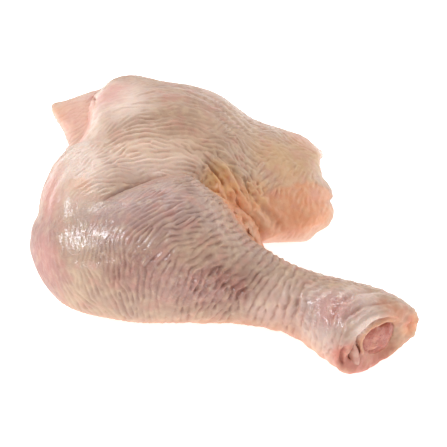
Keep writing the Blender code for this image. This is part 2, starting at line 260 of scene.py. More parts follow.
# How the skin wrinkles: place across the leg, height up the picture, turn, pitch and height, in
# millimetres and degrees, first along the calf, shank and hock, then over the thigh.
CALF_WRINKLES = (
    (-55, -9, 115, 2.2, 0.10), (-45, -12, 114, 2.2, 0.22), (-51, 1, 95, 2.0, 0.10), (-46, 2, 90, 2.0, 0.16),
    (-39, 1, 86, 2.0, 0.20), (-35, 14, 36, 2.0, 0.12), (-42, 8, 62, 2.0, 0.10), (-24, 6, 42, 2.1, 0.26),
    (-27, 19, 22, 1.9, 0.20), (-14, 20, 12, 1.9, 0.22), (-14, 8, 26, 2.2, 0.30), (-7, 6, 18, 2.4, 0.30),
    (1, 1, 15, 2.6, 0.28), (-19, -4, 48, 2.4, 0.36), (-24, -12, 82, 2.3, 0.32), (-35, -15, 108, 2.3, 0.28),
    (-14, -12, 62, 2.6, 0.42), (-4, -9, 53, 2.8, 0.40), (-12, -20, 72, 2.6, 0.34), (1, -18, 60, 2.8, 0.34),
    (-28, -21, 100, 2.3, 0.28), (-45, -20, 128, 2.3, 0.24), (2, -8, 38, 3.0, 0.32), (10, -6, 38, 3.0, 0.32),
    (11, -16, 60, 3.2, 0.40), (19, -16, 68, 3.2, 0.36), (19, -7, 45, 3.0, 0.26), (24, -22, 78, 3.0, 0.34),
    (13, -23, 80, 3.0, 0.30), (33, -25, 95, 3.0, 0.18), (41, -30, 72, 2.4, 0.24), (54, -23, 20, 2.2, 0.16),
    (59, -19, 0, 2.2, 0.12), (46, -29, 65, 2.2, 0.20), (38, -14, -15, 2.6, 0.16), (-65, 1, 95, 2.2, 0.08),
    (-60, 24, 60, 1.8, 0.06), (-58, 14, 80, 1.8, 0.06),
)
THIGH_WRINKLES = (
    (-44, 42, 38, 1.9, 0.14), (-47, 33, 36, 1.9, 0.18), (-38, 52, 17, 2.0, 0.12), (-31, 38, 12, 2.2, 0.26),
    (-41, 35, 27, 2.2, 0.26), (-22, 46, -5, 2.2, 0.19), (-18, 41, -8, 2.2, 0.20), (-9, 39, -25, 2.4, 0.22),
    (-22, 52, 4, 2.2, 0.13), (-12, 55, -10, 2.4, 0.14), (0, 49, 25, 2.4, 0.16), (-1, 36, -42, 2.4, 0.20),
    (7, 40, -35, 2.4, 0.18), (-6, 27, -50, 2.6, 0.30), (2, 23, -58, 3.0, 0.26), (9, 23, -68, 3.0, 0.26),
    (12, 14, -66, 3.0, 0.12), (18, 24, 45, 2.6, 0.20), (26, 30, 50, 2.6, 0.14), (21, 17, 75, 2.6, 0.12),
    (32, 14, 80, 2.8, 0.10), (29, 36, -30, 2.4, 0.10), (13, 46, 10, 2.4, 0.14), (-31, 30, 10, 2.2, 0.20),
    (-15, 33, -14, 2.2, 0.26), (-60, 24, 60, 1.8, 0.06),
)
SIDEWAYS = np.array((1.0, 0.0, 0.0))
UP_PICTURE = np.array((0.0, math.sin(VIEW_FALL), math.cos(VIEW_FALL)))
TO_VIEW = np.array(towards_camera)


def wrinkle_plan(places, guides):
    """The turn, pitch and height of the wrinkles at each point, blended from the nearest guides."""
    table = np.array(guides, float)
    across = places @ SIDEWAYS
    up = places @ UP_PICTURE
    gap = (across[:, None] - table[None, :, 0]) ** 2 + (up[:, None] - table[None, :, 1]) ** 2
    weight = 1.0 / (gap + 4.0) ** 2
    weight /= weight.sum(axis=1, keepdims=True)
    double = np.radians(table[:, 2]) * 2.0
    turn = 0.5 * np.arctan2(weight @ np.sin(double), weight @ np.cos(double))
    return turn, weight @ table[:, 3], weight @ table[:, 4]


def on_surface(turn, facings):
    """The direction in the skin that looks turned by this much in the picture."""
    flat = np.cos(turn)[:, None] * SIDEWAYS + np.sin(turn)[:, None] * UP_PICTURE
    steep = np.maximum(facings @ TO_VIEW, 0.35)
    lean = -(flat * facings).sum(axis=1) / steep
    way = flat + lean[:, None] * TO_VIEW
    way -= (way * facings).sum(axis=1, keepdims=True) * facings
    return way / np.maximum(np.linalg.norm(way, axis=1, keepdims=True), 1e-6)


# A wave train's width as a share of its length, how far it reaches, how strong the waves there have to
# be for it to fall in step with them, and how far out of step it may slip, in radians.
TRAIN_WIDTH = 0.50
TRAIN_REACH = 2.3
IN_STEP = 0.15
TRAIN_SLIP = 0.75


def wrinkles(places, facings, tree, seeds, ways, pitches, spread, rng):
    """Short wave trains laid one by one, each in step with those already there, so that the ridges run
    on. Gives each point its phase and its strength."""
    cos_sum = np.zeros(len(places))
    sin_sum = np.zeros(len(places))
    power = np.full(len(places), 1e-6)
    starts = rng.uniform(0.0, 2.0 * math.pi, len(seeds))
    slips = rng.normal(0.0, TRAIN_SLIP, len(seeds))
    for index, way, pitch, start, slip in zip(seeds, ways, pitches, starts, slips):
        centre = places[index]
        if math.hypot(cos_sum[index], sin_sum[index]) > IN_STEP:
            start = math.atan2(sin_sum[index], cos_sum[index]) + slip
        size = spread * pitch
        near = [found[1] for found in tree.find_range(centre, TRAIN_REACH * size)]
        gap = places[near] - centre
        across = gap @ np.cross(facings[index], way)
        along = gap @ way
        fade = np.exp(-0.5 * ((along / size) ** 2 + (across / (TRAIN_WIDTH * size)) ** 2))
        angle = across * (2.0 * math.pi / pitch) + start
        cos_sum[near] += fade * np.cos(angle)
        sin_sum[near] += fade * np.sin(angle)
        power[near] += fade * fade
    strength = np.minimum(np.hypot(cos_sum, sin_sum) / (0.9 * np.sqrt(power)), 1.0)
    return np.arctan2(sin_sum, cos_sum), strength


def rounded_ridges(phase):
    """From a phase to a height: round ridges with a narrow crease between them, from -1 to 1."""
    return 1.2 * np.abs(np.cos(phase / 2.0)) - 0.76 + 0.4 * np.cos(phase)


# How far the outline is pulled out or in, against the height up the picture: the torn skin along the
# hip's cut edge on the right, and the flap of skin and the knee on the left.
HIP_OUTLINE = (
    (0, -2.0), (6, -2.4), (8.8, 0.4), (12.7, 0.9), (15.0, 0.3), (17.3, -0.7), (18.8, -2.2), (20.3, -1.0),
    (23, -1.3), (26, -2.5), (28, -3.8), (32.5, -2.8), (34.8, -1.2), (36.3, 0.3), (38.2, 0.9), (41, 0),
)
LEFT_OUTLINE = (
    (10, 0), (16, -0.8), (27, -1.3), (32, -2.4), (39, -2.2), (41.0, 1.5), (44, 2.4), (47, 2.7), (49.5, 1.9),
    (52.5, 0.4), (54.5, -0.5), (56.5, -1.3), (58.5, -1.6), (62, 0),
)

# The torn slit beside the flap, which is narrower than in the solid: its middle, its turn, how wide a
# strip is drawn together, and the share by which it is.
SLIT_MIDDLE = (-52.5, 52.9, 30.4)
SLIT_TURN = math.radians(-14.0)
SLIT_STRIP = 3.0
SLIT_CLOSING = 0.62

# The crest of the calf along its crease, and how far and how broadly it leans towards the camera.
CREST = (
    (-43, -22, 42), (-40, -16, 42.5), (-34, -12, 42.5), (-26, -5, 40), (-16, -4, 41), (-10, -6, 43),
    (-5, -8, 38),
)
CREST_LEAN = 2.6
CREST_BREADTH = 9.0

# Where the flesh is pushed like clay: the middle, the reach each way, and the push.
CLAY_MOVES = (
    ((-52.5, 50, 32), (12, 18, 16), (3.0, 0.0, 0.0)),
    ((-41, 53, 40), (10, 12, 12), (-1.0, 1.2, 1.8)),
    ((33, 38, 22), (10, 8, 8), (0.0, 0.6, 0.6)),
    ((69, -54, 12), (6, 6, 8), (-1.1, 0.3, -0.4)),
)

# How far the skin below the cut is drawn in, and the hip's lower edge is tucked back.
CUT_TUCK = 0.9
HIP_TUCK = 3.0

places = places_of(leg.data)
calf_share = on_the_calf(places)
hip = step_up(places[:, 0], 26.0, 42.0) * (1.0 - calf_share)
height_seen = places @ UP_PICTURE
places[:, 0] += hip * table_at(HIP_OUTLINE, height_seen)
places[:, 0] += step_up(-places[:, 0], 40.0, 54.0) * table_at(LEFT_OUTLINE, height_seen)
slit_gap = places - np.array(SLIT_MIDDLE)
slit_across = np.array((math.cos(SLIT_TURN), math.sin(SLIT_TURN), 0.0))
slit_off = slit_gap @ slit_across
slit_near = np.exp(-((slit_off / SLIT_STRIP) ** 2))
slit_near *= 1.0 - step_up(np.linalg.norm(slit_gap, axis=1), 12.0, 18.0)
places -= (SLIT_CLOSING * slit_near * slit_off)[:, None] * slit_across
places[:, 1] -= CREST_LEAN * along_line(places, CREST, CREST_BREADTH) * step_up(places[:, 2], 20.0, 32.0)
for middle, reach, move in CLAY_MOVES:
    places += patch(places, middle, reach, 0.9)[:, None] * np.array(move)
cut_lower = patch(places, (61, -61, 3), (9, 7, 7), 0.7)
places -= CUT_TUCK * cut_lower[:, None] * np.array((0.50, -0.85, 0.0))
under_hip = step_up(places[:, 0], 4.0, 16.0) * (1.0 - calf_share)
under_hip *= step_up(-places[:, 1], -8.0, 4.0) * (1.0 - step_up(places[:, 2], 6.0, 20.0))
places[:, 1] += HIP_TUCK * under_hip
put_places(leg.data, places)

# The cut across the hock, as a plane: its middle, its turn from the camera's side and its tilt upwards.
CUT_MIDDLE = np.array((56.0, -62.1, 10.9))
CUT_TURN = math.radians(30.467)
CUT_TILT = math.radians(9.218)
CUT_RIGHT = np.array((math.cos(CUT_TURN), math.sin(CUT_TURN), 0.0))
CUT_FACING = np.array((
    math.sin(CUT_TURN) * math.cos(CUT_TILT), -math.cos(CUT_TURN) * math.cos(CUT_TILT), math.sin(CUT_TILT),
))
CUT_UP = np.cross(CUT_FACING, CUT_RIGHT)


def on_cut(right, up, proud=0.0):
    """The point this far right of and above the middle of the cut, and this far out of it."""
    return tuple(CUT_MIDDLE + right * CUT_RIGHT + up * CUT_UP + proud * CUT_FACING)


def seen_in_cut(places):
    """How far each point is right of, above and out of the middle of the cut."""
    gap = places - CUT_MIDDLE
    return gap @ CUT_RIGHT, gap @ CUT_UP, gap @ CUT_FACING


def out_of_cut(right, up, proud):
    """The points with these places in the cut, kept clear of the table."""
    places = CUT_MIDDLE + right[:, None] * CUT_RIGHT + up[:, None] * CUT_UP + proud[:, None] * CUT_FACING
    places[:, 2] = np.maximum(places[:, 2], TABLE_CLEARANCE)
    return places


# Grooves and welts worked one by one, in the crook, by the flap and round the cut hock: the line, how
# far it is raised, and its half width.
CROOK_MARKS = (
    (((-10.6, -15.5, 46), (-7.2, -19.5, 44), (-3.3, -21.4, 41.5)), -0.6, 0.9),
    (
        (
            (-6, 4, 39.5), (-2.2, 0.6, 36.5), (0.4, -1.3, 33.9), (0.7, -4.1, 30.9), (2.7, -6.1, 28.8),
            (5.5, -7.9, 26),
        ),
        -1.6, 0.75,
    ),
    (((-4.4, 0.5, 38), (-1.9, -2.4, 34.8), (-1.2, -5.5, 31.6), (0.8, -8.0, 29)), 0.9, 0.9),
    (((-8.5, -1.0, 40.5), (-5.0, -5.0, 36.5), (-3.4, -8.6, 33.0), (-1.0, -11, 30)), -0.7, 0.7),
    (((1.0, 3.2, 38.0), (2.6, 0.2, 34.4), (3.2, -2.6, 31.2), (5.0, -4.9, 29.2), (7.8, -7.0, 26.4)), 1.0, 0.9),
    (((2.7, 3.3, 36.9), (5.6, -0.6, 32.2), (7.6, -3, 30.2), (9.9, -5.4, 27.8), (11.2, -7.4, 25)), -1.2, 0.6),
    (((8.0, 2.6, 33.4), (9.2, -0.5, 30.1), (10.2, -4.0, 28.4), (11.6, -6.6, 26)), -0.9, 0.55),
    (((6.6, 3.0, 34.2), (7.6, -0.2, 31.2), (8.8, -3.4, 29.0)), 0.6, 0.7),
    (((14.6, -2.0, 28.2), (17.5, 1.5, 28.5), (20.4, 6.0, 29.0)), -0.6, 0.5),
    (((16.0, -3.0, 27.6), (19.0, 0.6, 28.0), (21.6, 4.6, 28.6)), 0.35, 0.8),
    (((26.6, 11.1, 27.7), (27.4, 15.5, 28.1)), -0.35, 0.5),
    (((-6.0, 7.0, 42.4), (-3.0, 6.7, 41.1), (1.1, 6.8, 38.9), (4.8, 5.5, 36.8)), -0.5, 0.8),
    (((14.7, -4.4, 25.9), (13.6, -6.6, 22.4), (13.0, -8.0, 18.0)), -0.5, 0.8),
    (((18.0, -3.4, 25.4), (17.0, -6.0, 21.6), (16.6, -7.6, 17.0)), -0.35, 0.8),
    (((8.0, -8.6, 24), (9.0, -9.6, 20), (10.0, -10.4, 15)), -0.5, 0.9),
)
FLAP_MARKS = (
    (((-50.0, 46, 38), (-48.8, 39.5, 42), (-49.2, 32.5, 43.2)), -1.2, 0.6),
)
HOCK_MARKS = (
    ((on_cut(-9.7, 6.4), on_cut(-9.1, 3.2), on_cut(-8.6, 0.4), on_cut(-7.6, -2.0)), -1.5, 0.7),
    ((on_cut(-14.4, 3.2), on_cut(-13.9, -0.8), on_cut(-13.0, -4.6)), -2.4, 0.7),
    (((42.3, -69.0, 15.4), (41.0, -69.1, 13.4), (41.2, -68.8, 10.5), (41.8, -68.5, 7.9)), -1.5, 0.9),
    ((on_cut(-15.4, 4.6), on_cut(-15.2, 1.2), on_cut(-14.6, -2.4)), 0.5, 0.8),
    ((on_cut(11.0, 4.6), on_cut(11.2, 2.6), on_cut(10.3, 1.4)), -1.8, 0.6),
    ((on_cut(12.4, 4.2), on_cut(12.8, 1.0)), 0.7, 1.4),
    (
        (
            on_cut(-19, 6.5), (43.7, -66.1, 21.3), (48.9, -62.5, 23.6), (56, -59.4, 23.2),
            (61.7, -56.9, 18.2), (67.7, -53.8, 13.0),
        ),
        0.9, 1.3,
    ),
    (((42.5, -62.0, 23.4), (48.5, -58.0, 25.2), (55.5, -55.0, 24.4), (61.5, -53.2, 19.0)), -0.9, 1.0),
    (((40.5, -59.5, 23.8), (46.5, -55.5, 25.4), (54.0, -51.6, 24.4), (60.5, -49.6, 18.6)), 0.6, 1.2),
    (((38.0, -60.5, 22.4), (41.0, -55.5, 24.6), (47.0, -50.6, 25.0), (54.0, -47.6, 23.0)), -0.7, 1.1),
    (((36.5, -64.0, 19.0), (37.4, -60.0, 22.0), (40.0, -53.0, 24.6)), -0.5, 1.2),
)

# The bare bone in the cut is an oval, squarer than an ellipse: its middle, its half width and height,
# and how square it is.
OVAL_MIDDLE = (-0.8, 2.3)
OVAL_SIZE = (6.2, 5.6)
OVAL_SQUARENESS = 2.4

# What fills the crook between the calf and the hip: the middle, the reach each way, and how far it rises.
CROOK_FILL = (
    ((2, -12, 26), (10, 8, 12), 3.4),
    ((9, -13, 15), (8, 6, 12), 3.0),
)

# The step between the flap and the thigh, which is rubbed soft: its middle and its reach each way.
RUBBED_STEP = ((-57, 42, 31), (7, 7, 9))
RUBBING_FACTOR = 0.7
RUBBING_PASSES = 120

# The torn edge of the skin on the hip, seen from above: the bare, salmon fat lies in front of it.
SKIN_EDGE = ((8, -9), (15, -1.5), (26, 7), (38, 14.5), (50, 20))


def bare_fat(places, ragged):
    """One where the skin is torn off the hip's fat, nothing behind the torn edge."""
    beyond = places[:, 1] - table_at(SKIN_EDGE, places[:, 0]) + ragged
    on_the_hip = step_up(places[:, 0], 13.0, 18.0) * (1.0 - on_the_calf(places))
    return (1.0 - step_up(beyond, -0.8, 0.8)) * on_the_hip


def worked_marks(places, marks):
    """How far the grooves and welts raise each point."""
    total = np.zeros(len(places))
    for line, rise, width in marks:
        total += rise * along_line(places, line, width)
    return total


def bone_oval(places):
    """How far out from the middle of the bare bone a point of the cut is: one on the bone's edge."""
    right, up, _ = seen_in_cut(places)
    right = np.abs(right - OVAL_MIDDLE[0]) / OVAL_SIZE[0]
    up = np.abs(up - OVAL_MIDDLE[1]) / OVAL_SIZE[1]
    return (right ** OVAL_SQUARENESS + up ** OVAL_SQUARENESS) ** (1 / OVAL_SQUARENESS)


def between(value, low, low_full, high_full, high):
    """One between the two full marks, fading to nothing at the outer ones."""
    return step_up(value, low, low_full) * (1.0 - step_up(value, high_full, high))


def facing_cut(places, facings, low, high):
    """One on the faces of the cut, nothing on the skin beside it."""
    _, _, proud = seen_in_cut(places)
    return step_up(facings @ CUT_FACING, low, high) * step_up(proud, -6.0, -3.0)


def upper_left_of_cut(places):
    """One on the upper left of the cut, where the skin is rolled back from the bone."""
    return step_up((places - CUT_MIDDLE) @ (CUT_UP - 0.7 * CUT_RIGHT), 1.0, 6.0)


soft = leg.vertex_groups.new(name="soft")
share = patch(places, *RUBBED_STEP, 0.7)
for index in np.flatnonzero(share > 0.01):
    soft.add([int(index)], float(share[index]), "REPLACE")
blend_in = leg.modifiers.new("blend_in", "SMOOTH")
blend_in.factor = RUBBING_FACTOR
blend_in.iterations = RUBBING_PASSES
blend_in.vertex_group = "soft"
finish_modifiers(leg)
leg.vertex_groups.clear()
places = places_of(leg.data)
facings = facings_of(leg.data)

# Along the calf's edge: the lip of its skin, two ragged creases beside it that are also painted with
# shade, and painted shade in the hollow next to it.
LIP_DEPTH = 0.45
FIRST_CREASE_DEPTH = 0.9
SECOND_CREASE_DEPTH = 0.6
TORN_SKIN = 0.4
CREASE_BREADTH = 0.5
HOLLOW_SHADE_BREADTH = 3.9

border = beside_edge(places)
x = places[:, 0]
high_up = step_up(places[:, 2], 26.0, 36.0)
ragged = 0.7 * cloudy(places, 3.0, 15)
lip = np.tanh(border / 0.6) * np.exp(-((border / 3.5) ** 2)) * high_up
lip *= between(x, -45.0, -33.0, -10.0, -2.0)
first_line = np.exp(-(((border - 0.3 + ragged) / CREASE_BREADTH) ** 2)) * high_up
first_line *= between(x, -45.0, -38.0, -32.0, -27.0)
second_line = np.exp(-(((border + 2.4 + 1.6 * ragged) / CREASE_BREADTH) ** 2)) * high_up
second_line *= between(x, -38.0, -33.0, -28.0, -22.0)
# Painted shade only, in the hollow that the calf's crest hides: it does not move the surface.
hollow_shade = np.exp(-(((border - 0.2 + 0.6 * ragged) / HOLLOW_SHADE_BREADTH) ** 4)) * (1.0 - step_up(border, 2.0, 4.0))
hollow_shade *= high_up * between(x, -35.0, -29.0, -12.0, -6.0)

marks = worked_marks(places, CROOK_MARKS + FLAP_MARKS)
for middle, reach, rise in CROOK_FILL:
    marks += rise * patch(places, middle, reach, 0.7)
marks -= LIP_DEPTH * lip + FIRST_CREASE_DEPTH * first_line + SECOND_CREASE_DEPTH * second_line
marks -= TORN_SKIN * bare_fat(places, 1.2 * ragged)
marks *= 1.0 - 0.25 * step_up(cloudy(places, 3.0, 11), 0.0, 0.4)

# In the cut: a ring of skin rolled up round the bone, a groove outside it, and sunk, lumpy flesh. Each
# ring has its distance out, its breadth, both in bone ovals, and its height in millimetres.
RING = (1.18, 0.12, 0.6)
OUTER_GROOVE = (1.42, 0.09, 0.9)
SUNK_FLESH = 0.7
FLESH_PAD = (on_cut(8.2, 1.5), (4, 4, 5), 0.9)

oval = bone_oval(places)
upper_left = upper_left_of_cut(places)
cut_side = facing_cut(places, facings, 0.35, 0.8)
rim = np.exp(-(((oval - RING[0]) / RING[1]) ** 2)) * (0.15 + RING[2] * upper_left)
rim -= np.exp(-(((oval - OUTER_GROOVE[0]) / OUTER_GROOVE[1]) ** 2)) * OUTER_GROOVE[2] * upper_left
rim -= SUNK_FLESH * (1.0 - step_up(oval, 0.85, 1.0))
lumps = 0.35 * cloudy(places, 1.6, 12) + 0.3 * cloudy(places, 4.0, 13)
lumps += FLESH_PAD[2] * patch(places, FLESH_PAD[0], FLESH_PAD[1], 0.7)
shaping = marks + worked_marks(places, HOCK_MARKS) + cut_side * (rim + lumps)
shaping *= step_up(places[:, 2], 0.3, 3.0)
places = places + facings * shaping[:, None]
put_places(leg.data, places)

facings = facings_of(leg.data)
tree = kdtree.KDTree(len(places))
for index, place in enumerate(places):
    tree.insert(place, index)
tree.balance()

# The wrinkles are laid twice: the main ones, and finer ones across them where the skin is loose.
TRAINS = 11000
MAIN_SPREAD = 1.05
CROSS_SPREAD = 0.9
CROSS_TURN = 0.5
CROSS_PITCH = 0.75
WRINKLE_HEIGHT = 1.15

rng = np.random.default_rng(7)
calf_share = on_the_calf(places)


def guided(seeds):
    """Whether each seed is on the calf, and the turn and pitch that the guides there give it."""
    calf_turn, calf_pitch, _ = wrinkle_plan(places[seeds], CALF_WRINKLES)
    thigh_turn, thigh_pitch, _ = wrinkle_plan(places[seeds], THIGH_WRINKLES)
    is_calf = calf_share[seeds] > 0.5
    return is_calf, np.where(is_calf, calf_turn, thigh_turn), np.where(is_calf, calf_pitch, thigh_pitch)


seeds = rng.permutation(len(places))[:TRAINS]
is_calf, turn, pitch = guided(seeds)
loose = np.where(is_calf, 0.45, 0.60 + 0.6 * step_up(places[seeds][:, 0], -15.0, 10.0))
sway = rng.normal(0.0, 0.12, len(seeds)) + loose * cloudy(places[seeds], 6.0, 5)
ways = on_surface(turn + sway, facings[seeds])
finer = np.where(is_calf, 0.92, 0.85) * (1.0 + 0.22 * cloudy(places[seeds], 7.0, 6))
phase, strength = wrinkles(places, facings, tree, seeds, ways, pitch * finer, MAIN_SPREAD, rng)

seeds = rng.permutation(len(places))[:TRAINS]
_, turn, pitch = guided(seeds)
turn = turn + np.where(rng.random(len(seeds)) < 0.5, CROSS_TURN, -CROSS_TURN)
ways = on_surface(turn, facings[seeds])
cross_phase, cross_strength = wrinkles(
    places, facings, tree, seeds, ways, pitch * CROSS_PITCH, CROSS_SPREAD, rng
)

_, _, calf_height = wrinkle_plan(places, CALF_WRINKLES)
_, _, thigh_height = wrinkle_plan(places, THIGH_WRINKLES)
height = 0.95 * calf_share * calf_height + (1.0 - calf_share) * thigh_height
worn = np.clip(0.85 + 0.8 * cloudy(places, 6.0, 1) + 0.8 * cloudy(places, 2.6, 2), 0.15, 1.6)
off_table = 0.15 + 0.85 * step_up(places[:, 2], 2.0, 14.0)
on_cut_face = cut_side * (1.0 - step_up(oval, 2.2, 3.0))
crossing = 0.12 + 0.33 * step_up(places[:, 0], -18.0, 2.0)
waves = rounded_ridges(phase) * strength + crossing * rounded_ridges(cross_phase) * cross_strength
to_edge = table_at(CALF_EDGE, places[:, 0]) - places[:, 1]
at_edge = np.exp(-((to_edge / 3.0) ** 2)) * step_up(places[:, 0], -14.0, -4.0)
relief = WRINKLE_HEIGHT * waves * height * worn * off_table
relief *= (1.0 - 0.8 * on_cut_face) * (1.0 - 0.55 * at_edge)
put_places(leg.data, places + facings * relief[:, None])


def give_values(mesh, name, values):
    """Keeps a value from nothing to one for each vertex, for a material to read."""
    attribute = mesh.attributes.new(name, "FLOAT", "POINT")
    attribute.data.foreach_set("value", np.clip(values, 0.0, 1.0).astype(np.float32))


# Painted shade darkens the inside of the slit beside the flap: its middle and its reach each way.
SLIT_SHADE = ((-49.6, 54, 31), (1.4, 7, 5))

# Painted shade, kept for the material: in the wrinkles' valleys, along the calf's edge, in the slit, and
# where the grooves and clay work push the surface in.
fold_shade = step_up(-relief / np.maximum(height, 0.05), -0.1, 1.4) * step_up(height, 0.03, 0.35)
drawn_shade = np.maximum(np.maximum(first_line, 0.8 * second_line), hollow_shade)
drawn_shade = np.maximum(drawn_shade, patch(places, *SLIT_SHADE))
worked = np.maximum(drawn_shade, step_up(-shaping, 0.15, 1.4))
give_values(leg.data, "crease", np.maximum(0.75 * fold_shade, worked))

thin = leg.modifiers.new("thin", "DECIMATE")
leg.data.calc_loop_triangles()
thin.ratio = min(1.0, LEG_TRIANGLES / len(leg.data.loop_triangles))
thin.use_collapse_triangulate = True
finish_modifiers(leg)

# A patch of fewer faces than this that joins nothing else is a crumb and not skin.
CRUMB_FACES = 200


def drop_crumbs(mesh):
    """Deletes the crumbs that remeshing and thinning leave in the narrow channels of the cut."""
    shell = bmesh.new()
    shell.from_mesh(mesh)
    unseen = set(shell.faces)
    crumbs = []
    while unseen:
        island = [unseen.pop()]
        for face in island:
            for edge in face.edges:
                for neighbour in edge.link_faces:
                    if neighbour in unseen:
                        unseen.discard(neighbour)
                        island.append(neighbour)
        if len(island) < CRUMB_FACES:
            crumbs += island
    bmesh.ops.delete(shell, geom=crumbs, context="FACES")
    shell.to_mesh(mesh)
    shell.free()


drop_crumbs(leg.data)

# The tones have wavering edges: how far these stray, and in clouds of what size.
STRAY = 3.0
STRAY_CLOUDS = 9.0

places = places_of(leg.data)
sway_x = cloudy(places, STRAY_CLOUDS, 3)
sway_y = cloudy(places, STRAY_CLOUDS, 4)
wobbly = places + STRAY * np.stack((sway_x, sway_y, -sway_x), axis=1)
on_calf = on_the_calf(places)
on_calf_wavering = on_the_calf(places + 0.12 * (wobbly - places))

# Where each tone of the skin lies: the middle of the patch, its reach each way, and how strong it is.
TONES = {
    "pale": (
        ((-38, 30, 49), (11, 13, 12), 0.8), ((-50, -3, 43), (11, 18, 11), 0.9),
        ((-30, 3, 42), (20, 8, 9), 1.0), ((-50, 30, 40), (12, 16, 14), 0.8), ((16, -5, 6), (26, 14, 6), 0.7),
        ((38, 38, 17), (5, 5, 5), 0.5), ((33, -62, 14), (10, 8, 9), 0.6), ((46, -54, 25), (8, 7, 7), 0.9),
        ((18, -49, 19), (9, 8, 9), 0.5), ((34, -56, 21), (8, 8, 8), 0.6), ((49, -63, 21), (6, 4, 5), 1.0),
        ((-26, 3, 43), (17, 9, 9), 1.0), ((26, -8, 11), (18, 9, 9), 0.6), ((-69, 54, 22), (3.5, 9, 6), 0.8),
        ((-60, 52, 26), (12, 14, 12), 0.6),
    ),
    "tan": (
        ((-20, 16, 48), (10, 9, 10), 0.9), ((6, 30, 43), (16, 14, 10), 0.2), ((-28, 46, 42), (12, 6, 8), 0.4),
        ((58, -56, 20), (8, 5, 6), 0.7), ((-2, -38, 40), (12, 8, 8), 0.5), ((-64, -8, 30), (6, 18, 10), 0.5),
    ),
    "lilac": (
        ((-26, -30, 45), (24, 13, 12), 1.0), ((37, -57, 22), (13, 9, 10), 0.8),
        ((-12, 40, 46), (20, 10, 10), 0.6), ((8, -30, 30), (14, 8, 8), 0.4),
        ((-65, -30, 24), (9, 18, 14), 1.0),
    ),
    "gold": (
        ((1, -3, 33), (7, 8, 8), 1.0), ((-24, 6, 44), (22, 7, 8), 0.25), ((22, 16, 27), (16, 11, 9), 0.45),
        ((11, -3, 28), (7, 7, 8), 0.7), ((-66, 57, 24), (4, 10, 6), 0.4), ((34, 31, 24), (12, 10, 9), 0.4),
    ),
    "amber": (
        ((5, -10, 27), (12, 9, 11), 0.9), ((28, 0, 18), (24, 14, 13), 1.0), ((10, -9, 16), (12, 10, 12), 0.9),
        ((66, -55, 13), (4, 4, 5), 1.0), ((-51, -16, 44), (4.0, 3, 4), 0.4),
        ((-58, 52, 26), (9, 12, 10), 0.3), ((-54, 38, 35), (4.5, 14, 9), 0.5),
        ((58, -57, 20), (8, 5, 5), 0.5), ((48, -68, 4), (14, 8, 4), 0.6),
    ),
    "mauve": (
        ((-26, -49, 33), (16, 6, 9), 0.9), ((-5, -50, 26), (20, 7, 9), 1.0),
        ((-30, -38, 42), (14, 8, 8), 0.4), ((-65, -34, 24), (9, 18, 14), 1.0),
    ),
    "rose": (
        ((-63, -34, 24), (7, 12, 9), 0.5), ((-43, 36, 47), (8, 7, 6), 0.8), ((33, 36, 24), (10, 6, 7), 0.5),
        ((52, -67, 7), (14, 6, 8), 1.0), ((39, -57, 23), (7, 6, 6), 0.7), ((-61, -11, 37), (5, 12, 8), 0.8),
        ((-60, 50, 26), (12, 14, 12), 0.4), ((-55, 36, 34), (5.5, 16, 10), 0.8),
        ((-62, -6, 32), (6, 18, 9), 0.35), ((41, -70, 12), (3, 3, 6), 1.0), ((30, -48, 12), (16, 9, 8), 0.3),
    ),
    "flesh": (
        ((55, -66, 5), (11, 6, 5), 0.55), ((58, -57, 19), (8, 5, 5), 0.3), ((41, -70, 12), (2.5, 3, 5), 1.0),
        ((65, -56, 15), (2, 2, 3), 0.8), ((44, -69, 8), (3, 3, 6), 0.5), ((-50, 52, 31), (2, 14, 8), 0.6),
        ((-49.2, 39, 42), (1.2, 6, 4), 0.7), ((-49.6, 54, 31), (2.0, 8, 5), 1.0),
        ((43, -69, 12), (3.5, 3, 5.5), 0.8),
    ),
    "gloss": (
        ((-47, -33, 39), (14, 16, 11), 1.0), ((-26, -47, 36), (11, 6, 7), 0.9),
        ((37, -57, 22), (12, 9, 8), 0.8), ((49, -63, 21), (6, 4, 5), 0.8), ((-54, 2, 41), (8, 18, 10), 0.5),
        ((38, 38, 17), (5, 5, 6), 0.8), ((-8, -51, 28), (22, 6, 8), 0.9), ((-56, -8, 40), (8, 12, 8), 0.5),
    ),
}


def near_table(high):
    """One at the table, nothing from this height up."""
    return 1.0 - step_up(places[:, 2], 4.0, high)


def kept_in_place(tone, total):
    """Keeps a tone to the skin, the fat or the flesh that it belongs to."""
    if tone == "lilac":
        return total * (on_calf_wavering + 0.6 * step_up(places[:, 1], -2.0, 8.0))
    if tone == "pale":
        return total * (1.0 - 0.9 * on_calf * between(places[:, 0], -46.0, -40.0, -6.0, 6.0))
    if tone == "amber":
        bare = bare_fat(places, 0.9 * cloudy(places, 3.0, 15))
        kept_skin = (1.0 - bare) * between(places[:, 0], 13.0, 18.0, 44.0, 50.0) * (1.0 - on_calf)
        total = np.maximum(total, 0.8 * bare) * (1.0 - 0.6 * kept_skin)
        total = np.maximum(total, 0.5 * near_table(14.0))
        return total * (1.0 - 0.6 * near_table(16.0) * (1.0 - on_calf))
    return total


for tone, spots in TONES.items():
    total = np.zeros(len(places))
    for middle, reach, weight in spots:
        total = np.maximum(total, weight * patch(wobbly, middle, reach, 0.65))
    give_values(leg.data, tone, kept_in_place(tone, total))

# The ring of skin round the bone: how far out it lies and its breadth, in bone ovals.
RING_TONE = (1.20, 0.16)

